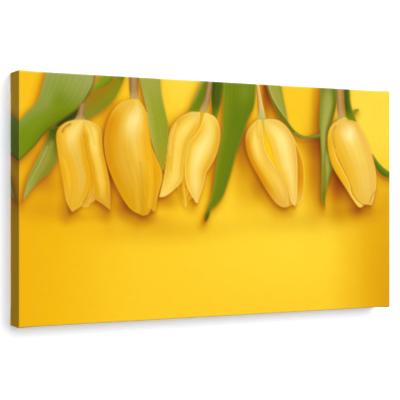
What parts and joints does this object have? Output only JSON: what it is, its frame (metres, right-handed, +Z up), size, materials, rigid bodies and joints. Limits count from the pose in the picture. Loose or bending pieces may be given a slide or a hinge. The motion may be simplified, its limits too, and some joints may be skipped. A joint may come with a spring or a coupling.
{
  "type": "canvas print",
  "caption": "Gallery-wrapped canvas print on a mitred wooden stretcher frame with corner wedges, stapled behind and hung by a sawtooth hanger, with rubber wall pads.",
  "frame": {"origin": "the point on the wall where the nail carries the middle notch of the sawtooth hanger; the wall is the plane y = 0", "axes": "+X to the right as seen from the front, +Y from the picture towards the wall, +Z up; the picture faces -Y"},
  "size_m": [0.61, 0.041, 0.343],
  "materials": {
    "printed_canvas": "woven cotton and polyester canvas with a satin ink print of yellow tulips",
    "stretcher_pine": "planed finger-jointed pine, unfinished",
    "key_beech": "sawn beech, unfinished",
    "staple_steel": "bright galvanised wire",
    "hanger_steel": "stamped steel strip, brass plated",
    "pad_rubber": "moulded matt rubber"
  },
  "bodies": {
    "root": {"corner_key_bottom_1": "key_beech", "corner_key_bottom_2": "key_beech", "corner_key_left_1": "key_beech", "corner_key_left_2": "key_beech", "corner_key_right_1": "key_beech", "corner_key_right_2": "key_beech", "corner_key_top_1": "key_beech", "corner_key_top_2": "key_beech", "hanger_nail_left": "hanger_steel", "hanger_nail_right": "hanger_steel", "printed_canvas": "printed_canvas", "sawtooth_hanger": "hanger_steel", "staple_bottom_1": "staple_steel", "staple_bottom_10": "staple_steel", "staple_bottom_11": "staple_steel", "staple_bottom_12": "staple_steel", "staple_bottom_2": "staple_steel", "staple_bottom_3": "staple_steel", "staple_bottom_4": "staple_steel", "staple_bottom_5": "staple_steel", "staple_bottom_6": "staple_steel", "staple_bottom_7": "staple_steel", "staple_bottom_8": "staple_steel", "staple_bottom_9": "staple_steel", "staple_left_1": "staple_steel", "staple_left_2": "staple_steel", "staple_left_3": "staple_steel", "staple_left_4": "staple_steel", "staple_left_5": "staple_steel", "staple_right_1": "staple_steel", "staple_right_2": "staple_steel", "staple_right_3": "staple_steel", "staple_right_4": "staple_steel", "staple_right_5": "staple_steel", "staple_top_1": "staple_steel", "staple_top_10": "staple_steel", "staple_top_11": "staple_steel", "staple_top_12": "staple_steel", "staple_top_2": "staple_steel", "staple_top_3": "staple_steel", "staple_top_4": "staple_steel", "staple_top_5": "staple_steel", "staple_top_6": "staple_steel", "staple_top_7": "staple_steel", "staple_top_8": "staple_steel", "staple_top_9": "staple_steel", "stretcher_bar_bottom": "stretcher_pine", "stretcher_bar_left": "stretcher_pine", "stretcher_bar_right": "stretcher_pine", "stretcher_bar_top": "stretcher_pine", "wall_pad_left": "pad_rubber", "wall_pad_right": "pad_rubber"}
  },
  "joints": []
}
